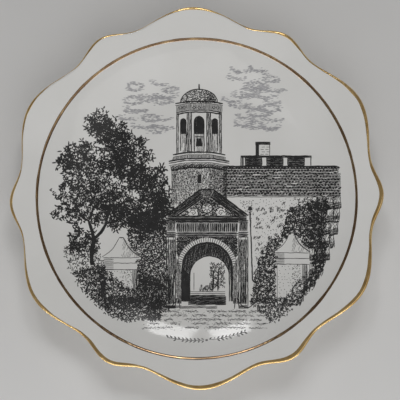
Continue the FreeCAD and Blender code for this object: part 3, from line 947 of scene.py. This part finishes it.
def draw_pilasters(ink):
    for side in (-1, 1):
        draw_uprights(ink, GATE, side, 0.03, FRIEZE_FOOT,
                      (0.385, MEDIUM), (0.41, THIN), (0.47, THIN), (0.495, MEDIUM))
        low, high = sorted((0.5 + side * 0.42, 0.5 + side * 0.46))
        hatch_blocks(ink, GATE, (low - 0.02, high + 0.02, 0.04, 0.22, 88, 0.34, 0.33),
                     (low - 0.03, high + 0.03, 0.22, 0.58, 88, 0.36, 0.33, 0.06),
                     (low - 0.04, high + 0.04, 0.0, 0.03, 0, 0.35, 0.3))


def draw_chains(ink):
    """Low posts either side of the gate, with a chain hanging from each."""
    post_half, post_height = 1.1, 4.6
    reach, start, sag, drop = 8, 4.4, 3.5, 1.2          # of the chain
    for side in (-1, 1):
        foot = GATE.at(0.5 + side * 0.36, 0.0)
        for step in (-post_half, post_half):
            ink.line([foot + (step, 0), foot + (step * 0.4, post_height)], MEDIUM)
        ink.line([foot + (side * reach * share, start - 4 * sag * share * (1 - share) - drop * share)
                  for share in np.linspace(0, 1, 8)], MEDIUM)


# ---- the tiled range ----
LANTERN_FOOT, LANTERN_TOP = 1.0, 1.09   # shares of the range's height
TILE_ROWS = 10


def draw_tiled_range(ink):
    """A tiled roof over a wall that grows out of foliage and loose stones."""
    for row in range(TILE_ROWS):
        up = 0.99 - 0.25 * row / TILE_ROWS
        places = resampled(RANGE.path((-0.02, up), (0.94, up)), 1.35) + (0.6 * (row % 2), 0)
        ink.marks(places, 18 if row % 2 else -18, 1.2, 0.8, 0.8, 8)
    ink.hatch(RANGE.block(-0.03, 0.96, 0.74, 0.99), 0, 0.42, 0.3, 0.08)
    draw_rows(ink, RANGE, -0.03, 0.96, (1.0, 0.75), (0.985, THIN), (0.735, THIN))
    draw_lantern(ink)
    draw_chimney(ink)
    wall = RANGE.path((0.24, 0.72), (0.95, 0.72), (0.6, 0.68), (0.24, 0.1))
    ink.stipple(wall, 1.4, 0.22, 30)
    ink.stipple(RANGE.path((0.1, 0.71), (0.24, 0.71), (0.22, 0.5)), 0.9, 0.28, 30)
    ink.foliage(RANGE.path((0.55, 0.73), (0.95, 0.73), (0.72, 0.56)), 1.5, 0.8, 0.3)
    for place in ink.scatter(wall, 3.1):                   # stones, each a knot of short strokes
        ink.marks(place + ink.rng.uniform(-0.85, 0.85, (13, 2)) * (1, 0.7), 62, 0.8, 0.19, 0.1, 9)
    draw_lamp_post(ink)


def draw_lantern(ink):
    """A long glazed box that stands on the ridge."""
    for left in (0.16, 0.34, 0.52):
        glass = RANGE.block(left, left + 0.14, LANTERN_FOOT + 0.01, LANTERN_TOP - 0.01)
        ink.hatch(glass, 0, 0.3, 0.32)
        ink.lines(glass, MEDIUM, closed=True)
        ink.line([(glass[0] + glass[1]) / 2, (glass[2] + glass[3]) / 2], MEDIUM)
    draw_rows(ink, RANGE, 0.12, 0.72, (LANTERN_TOP, 0.8), (LANTERN_TOP - 0.01, THIN),
              (LANTERN_FOOT, MEDIUM))
    ink.hatch(RANGE.block(0.12, 0.145, LANTERN_FOOT, LANTERN_TOP), 88, 0.36, 0.3)
    ink.line(RANGE.path((0.715, LANTERN_FOOT), (0.715, LANTERN_TOP)), MEDIUM)


def draw_chimney(ink):
    """A square stack of bricks over the lantern, dark on its left."""
    foot, size = RANGE.at(0.25, LANTERN_TOP), 6

    def box(left, right, low, high):
        return [foot + corner for corner in ((left, low), (right, low), (right, high), (left, high))]

    ink.lines(box(0, size, 0, size), THIN, closed=True)
    ink.solid(box(0, 1.2, 0, size))
    ink.hatch(box(-0.3, size + 0.3, size - 1, size + 0.3), 0, 0.34, 0.34)
    for row in range(4):
        for brick in range(2):
            start = foot + (2 + 2.1 * brick + 0.5 * (row % 2), 0.9 + 1.05 * row)
            ink.line([start, start + (1.4, 0)], THIN)


def draw_lamp_post(ink):
    head = RANGE.at(0.2, 0.62)
    ink.line([RANGE.at(0.22, 0.0), head], 0.55)
    ink.solid([head + (-0.9, 0), head + (0.9, 0), head + (0.5, 1.5), head + (-0.5, 1.5)])


# ---- the piers, the crag and what grows round them ----
CRAG_REACH = 62.5                       # how far the slabs run out from the plate's axis
CRAG_DEPTH = 14.0                       # how far in they start, above the pier
CRAG_COURSES = 9


def draw_pier(ink, patch, pier_outline, ledges):
    """A pale pier, shaded on its right, under a spreading cap."""
    shoulder_right, apex_right, apex_left, shoulder_left = pier_outline[2:6]
    low_ledge, high_ledge = ledges[-1], ledges[0]
    for apex, shoulder, width in ((apex_right, shoulder_right, MEDIUM), (apex_left, shoulder_left, THIN)):
        sag = (apex + shoulder) / 2 - (np.sign(shoulder[0] - apex[0]) * 0.8, 0.8)
        ink.curve([apex, sag, shoulder], width)
    draw_rows(ink, patch, 0.03, 0.97, *((up, THIN) for up in ledges))
    for across, width in ((0.1, FINE), (0.9, MEDIUM)):
        ink.line(patch.path((across, 0), (across, low_ledge)), width)
    hatch_blocks(ink, patch, (0.78, 0.9, 0.0, low_ledge, 88, 0.4, 0.24),
                 (0.05, 0.3, low_ledge, high_ledge, 0, 0.5, FINE))
    ink.line([apex_left, apex_right], MEDIUM)
    ink.stipple(patch.block(0.12, 0.76, 0.0, low_ledge), 1.5, 0.22, 10)
    ink.stipple(patch.block(0.5, 0.78, 0.0, low_ledge), 0.9, 0.26, 10)
    ink.hatch([apex_right, shoulder_right, (shoulder_left + shoulder_right) / 2], 70, 0.6, FINE, 0.2)


def draw_left_pier(ink):
    draw_pier(ink, LEFT_PIER, LEFT_PIER_OUTLINE, (0.66, 0.57, 0.46))


def draw_right_pier(ink):
    draw_pier(ink, RIGHT_PIER, RIGHT_PIER_OUTLINE, (0.72, 0.64, 0.56))
    ink.foliage(RIGHT_PIER.path((0.2, 0), (0.95, 0), (0.95, 0.5), (0.6, 0.3)), 1.1, 0.8, 0.32)


def draw_crag(ink):
    """Rough slabs in leaning courses up to the view's edge, with scrub round them."""
    foot, top = RIGHT_PIER.at(0.0, -0.1)[1], RANGE.at(0.0, 0.74)[1]
    for course in range(CRAG_COURSES):
        height = foot + (top - foot) * (course + 0.5) / CRAG_COURSES
        edge = math.sqrt(CRAG_REACH ** 2 - height ** 2)
        beside_pier = height < RIGHT_PIER.at(0, 0.95)[1]
        left = RIGHT_PIER.at(0.98, 0)[0] if beside_pier else edge - CRAG_DEPTH
        while left < edge:
            right = left + ink.rng.uniform(3.2, 6.5)
            draw_slab(ink, left, min(right, edge), height, (top - foot) / CRAG_COURSES)
            left = right
    above = RIGHT_PIER.path((0.2, 0.95), (1.0, 0.78), (1.35, 0.95), (1.5, 1.5), (0.4, 1.35))
    ink.foliage(above, 0.95, 0.9, 0.46, BUILT)
    beside = RIGHT_PIER.path((-0.6, 0.05), (0.05, 0.0), (0.05, 0.6), (0.3, 1.0), (-0.2, 0.85),
                             (-0.5, 0.5))
    ink.foliage(beside, 0.9, 0.85, 0.42, (RIGHT_PIER_OUTLINE, GATE_OUTLINE))
    slope = RIGHT_PIER.path((0.55, -0.25), (1.3, -0.1), (1.45, 0.9), (1.15, 0.9), (1.02, 0.45),
                            (0.7, 0.1))
    ink.foliage(slope, 1.3, 1.0, 0.44)
    ink.marks(ink.scatter(slope, 1.1), 76, 2.6, 0.42, 0.15, 14)
    below = RIGHT_PIER.path((-0.7, 0.05), (0.0, -0.28), (1.1, -0.12), (1.3, 0.1), (0.5, 0.12))
    ink.foliage(below, 1.0, 0.85, 0.4, (GATE_OUTLINE,))


def draw_slab(ink, left, right, height, thickness):
    """One slab with uneven corners, shaded along its foot."""
    lean = (right - left) * 0.22
    low, high = height - thickness / 2, height + thickness / 2
    corners = [corner + ink.rng.uniform(-0.35, 0.35, 2) for corner in np.array(
        [(left, low - lean / 2), (right, low + lean / 2), (right, high + lean / 2), (left, high - lean / 2)])]
    ink.lines(corners, THIN, closed=True, wobble=0.1)
    ink.line(corners[:2], 0.6, wobble=0.08)
    shaded = [corners[0], corners[1], (corners[1] + corners[2]) / 2, (corners[0] + corners[3]) / 2]
    ink.hatch(shaded, 12, 0.42, 0.36, 0.15)
    ink.hatch(corners, 70, 0.55, 0.28, 0.3, 0.08)


def draw_tree(ink):
    """A ragged crown of clumps, dense on the right and open on the left, where branches show."""
    limbs = ((0.32, 0.6, 0.36), (0.6, 0.72, 0.24), (0.18, 0.38, 0.24), (0.48, 0.86, 0.15),
             (0.78, 0.55, 0.2), (0.8, 0.3, 0.24), (0.52, 0.36, 0.22), (0.36, 0.93, 0.1),
             (0.12, 0.7, 0.14), (0.22, 0.14, 0.12), (0.94, 0.42, 0.12))
    for across, up, share in limbs:
        middle, reach = TREE.at(across, up), share * TREE.size[1]
        airy = across < 0.4 and up < 0.8
        mass = rounded_mass(middle, reach * 0.62, ink.rng)
        ink.foliage(mass, 1.75 if airy else 1.4, 1.35, 0.52, BUILT)
        core = rounded_mass(middle - (0.8, 1.2), reach * 0.36, ink.rng)
        ink.foliage(core, 1.7 if airy else 1.1, 1.1, 0.55, BUILT)
        for tip in ring(middle, reach * 0.68, 7, 0.8):
            ink.leaves(clear_of(tip + ink.rng.normal(0, 1.2, (7, 2)), BUILT), 1.5, 4, 0.5)


def rounded_mass(middle, reach, rng):
    """A lumpy round region."""
    return ring(middle, reach * rng.uniform(0.8, 1.2, 14)[:, None], 14, 0.82)


def draw_ivy(ink):
    """Ivy that hangs from the crown down to the wall's foot, beside the gate."""
    ivy = TREE.path((0.6, -0.1), (1.04, -0.22), (1.04, 0.4), (0.62, 0.3))
    ink.foliage(ivy, 0.95, 0.9, 0.42, BUILT)


def draw_branches(ink):
    """A trunk that forks again and again."""
    grow_branch(ink, TREE.at(0.3, -0.02), 86, 11.5, 2.0)


def grow_branch(ink, start, heading, length, width):
    end = start + length * direction(math.radians(heading))
    middle = (start + end) / 2 + ink.rng.normal(0, 0.4, 2)
    ink.curve([start, middle, end], width)
    if length > 3:
        for spread in (-28, 26):
            bent = heading + spread + ink.rng.uniform(-8, 8)
            grow_branch(ink, end, bent, length * 0.72, width * 0.68)


def draw_hedge(ink):
    """Close foliage with darker clumps, over the foot of the pier and a low wall."""
    lean = math.radians(-15)
    ink.foliage(HEDGE.oval(0.96, lean, 0.8), 1.0, 0.95, 0.42, BUILT)
    for place in ink.scatter(HEDGE.oval(0.8, lean, 0.8), 7.0):
        ink.leaves(clear_of(place + ink.rng.normal(0, 1.8, (30, 2)), BUILT), 0.9, 4, 0.36)
    before_pier = LEFT_PIER.path((-0.1, 0.45), (0.2, 0.42), (0.45, 0.25), (0.85, 0.12), (1.0, -0.08),
                                 (0.1, -0.15))
    ink.foliage(before_pier, 1.0, 0.95, 0.4)
    above = HEDGE.path((0.0, 0.75), (0.36, 0.85), (0.28, 1.2), (-0.04, 1.25))
    ink.foliage(above, 1.35, 0.9, 0.32, BUILT)
    wall = HEDGE.block(0.7, 0.97, 0.3, 0.75)
    ink.hatch(wall, 80, 0.5, 0.24, 0.15, 0.08)
    ink.stipple(wall, 0.9, 0.44, 60)


def draw_road(ink):
    """Level wisps of shade up to the gate, over fine dust."""
    for row in range(5):
        for wisp in range(6):
            start = ROAD.at(0.1 + 0.15 * wisp + 0.05 * (row % 2), 0.2 + 0.14 * row)
            run = ink.rng.uniform(3, 9)
            ink.soft_line([start, start + (run / 2, 0.08), start + (run, 0)], 0.55, 0.5, 0.14)
    ink.hatch(ROAD.block(0.2, 0.62, 0.86, 0.96), 2, 0.4, 0.24)
    ink.stipple(ROAD.oval(0.85), 1.9, 0.2, 5)


# ---- the clouds and the caption's sprig ----
def draw_cloud(ink, patch, lean, spacing):
    """A net of soft billows in level strokes: flat lumpy rings, two in three open on top."""
    region = patch.oval(0.92, lean)
    for count, centre in enumerate(ink.scatter(region, spacing)):
        billow = rounded_mass((0, 0), 1.0, ink.rng)
        billow = (np.roll(billow, 1, axis=0) + billow + np.roll(billow, -1, axis=0)) / 2.9
        billow = centre + billow * (spacing * ink.rng.uniform((0.6, 0.28), (1.0, 0.42)))
        billow = np.concatenate([billow, billow[:1]]) if count % 3 == 0 else billow[6:]
        crosses_tower = len(clear_of(billow, [TOWER_OUTLINE])) < len(billow)
        if inside(billow, region).mean() > 0.66 and not crosses_tower:
            curve = resampled(smooth(billow), 0.2)
            places = curve + ink.rng.normal(0, 1, curve.shape) * (0.7, 0.42)
            ink.marks(places, 3, 1.3, 0.26, 0.12, 7)


def draw_left_cloud(ink):
    draw_cloud(ink, LEFT_CLOUD, math.radians(25), 5.0)


def draw_right_cloud(ink):
    draw_cloud(ink, RIGHT_CLOUD, 0.0, 5.4)


CAPTION_HALF_HEIGHT = 1.15
SPRIG_LEAVES = 10                   # pairs of leaves on each side of the sprig's bead


def draw_caption(ink):
    """A slender sprig along an arc, its leaves turned towards its two ends, in place of words."""
    radius = -CAPTION.low[1] - CAPTION_HALF_HEIGHT
    first = math.atan2(-radius, CAPTION.low[0] + 2)
    last = math.atan2(-radius, CAPTION.at(1, 0)[0] - 2)
    turns = np.linspace(first, last, 2 * SPRIG_LEAVES + 1)
    arc = radius * direction(turns)
    for half in (arc[:SPRIG_LEAVES], arc[SPRIG_LEAVES + 1:]):
        ink.line(half, 0.26)
    for leaf, (turn, place) in enumerate(zip(turns, arc)):
        if leaf == SPRIG_LEAVES:
            continue
        onwards = 1 if leaf > SPRIG_LEAVES else -1
        for side in (-1, 1):
            heading = math.degrees(turn) + 90 * onwards - 35 * side * onwards
            ink.marks(place[None] * (1 + side * 0.55 / radius), heading, 1.3, 0.5, 0.2, 5)
    ink.marks(arc[SPRIG_LEAVES][None], 0, 0.9, 0.8, lens=False)


# in the order of their seeds; ivy and branches stand for parts of the tree's print node
DRAWINGS = {
    "bell_tower": draw_bell_tower, "gatehouse": draw_gatehouse, "tiled_range": draw_tiled_range,
    "left_pier": draw_left_pier, "right_pier": draw_right_pier, "crag": draw_crag,
    "tree": draw_tree, "ivy": draw_ivy, "branches": draw_branches, "hedge": draw_hedge,
    "road": draw_road, "left_cloud": draw_left_cloud, "right_cloud": draw_right_cloud,
    "caption": draw_caption,
}


def make_view(dark, light):
    for seed, (subject, draw) in enumerate(DRAWINGS.items()):
        node = "print_tree" if subject in ("ivy", "branches") else "print_" + subject
        slot = "light_ink" if subject.endswith("cloud") else "ink"
        ink = Ink(seed)
        draw(ink)
        ink.laid("engraved_" + subject, dark if slot == "ink" else light, [node])


# ---- stage, lights and camera, in metres ----
FLOOR_REACH = 3.0
FRAME_WIDTH = 0.172                 # what the camera sees across, at the plate


def make_floor():
    corners = [(x * FLOOR_REACH, y * FLOOR_REACH, 0) for x, y in ((-1, -1), (1, -1), (1, 1), (-1, 1))]
    floor = new_object("floor", corners, [(0, 1, 2, 3)], floor_material())


def add_area_light(name, place, power, width, height, colour=(1, 1, 1), aim=(0, 0, 0)):
    """A soft box that faces its aim: the middle of the plate, or another place."""
    data = bpy.data.lights.new(name, "AREA")
    data.shape = "RECTANGLE"
    data.size, data.size_y = width, height
    data.energy = power
    data.color = colour
    light = bpy.data.objects.new(name, data)
    light.location = place
    light.rotation_euler = (Vector(aim) - Vector(place)).to_track_quat("-Z", "Y").to_euler()
    bpy.context.scene.collection.objects.link(light)


def make_lights():
    add_area_light("left_window", (-0.28, 1.1, 1.2), 3.4, 0.3, 0.4)
    add_area_light("right_window", (0.22, 1.1, 1.3), 4.0, 0.4, 0.45)
    add_area_light("ceiling", (0.35, -1.0, 1.6), 7.4, 2.2, 1.8, (1.0, 0.985, 0.96))
    add_area_light("low_lamp", (0, -0.33, 0.075), 0.65, 0.6, 0.06, aim=(0, -0.16, 0))
    world = bpy.data.worlds.new("room")
    world.use_nodes = True
    background = world.node_tree.nodes["Background"]
    background.inputs["Color"].default_value = (1.0, 0.98, 0.95, 1)
    background.inputs["Strength"].default_value = 0.2
    bpy.context.scene.world = world


def make_camera():
    """Looks straight down on the plate, which almost fills the frame."""
    data = bpy.data.cameras.new("camera")
    data.lens = 150
    data.sensor_width = 36
    data.clip_end = 20
    camera = bpy.data.objects.new("camera", data)
    distance = FRAME_WIDTH * data.lens / data.sensor_width
    camera.location = (0.0014, -0.0006, cad_box[1][2] + distance)
    bpy.context.scene.collection.objects.link(camera)
    bpy.context.scene.camera = camera


def make_body_bare():
    """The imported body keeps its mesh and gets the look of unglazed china."""
    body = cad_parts["china_body"]
    body.data.materials.clear()
    body.data.materials.append(biscuit_material())


def main():
    glaze = glaze_material()
    lip_gold = gold_material("bright_gold", (0.58, 0.37, 0.14), (0.88, 0.63, 0.29), (0.97, 0.78, 0.45))
    # The verge line's gold is a darker, browner copy of the lip's gold: painted shade that stands in for the
    # dark reflections along the line.
    verge_gold_with_painted_shade = gold_material("painted_shade_gold", (0.18, 0.11, 0.07), (0.34, 0.23, 0.13), (0.66, 0.49, 0.27))
    make_well(glaze)
    make_rim(glaze)
    make_back(glaze)
    make_foot_well(glaze)
    make_lip_gold(lip_gold)
    make_verge_gold(verge_gold_with_painted_shade)
    make_view(ink_material("dark_ink", 0.012, 0.028), ink_material("light_ink", 0.36, 0.48))
    make_body_bare()
    make_floor()
    make_lights()
    make_camera()
    scene = bpy.context.scene
    scene.view_settings.view_transform = "Standard"
    scene.view_settings.look = "None"


main()
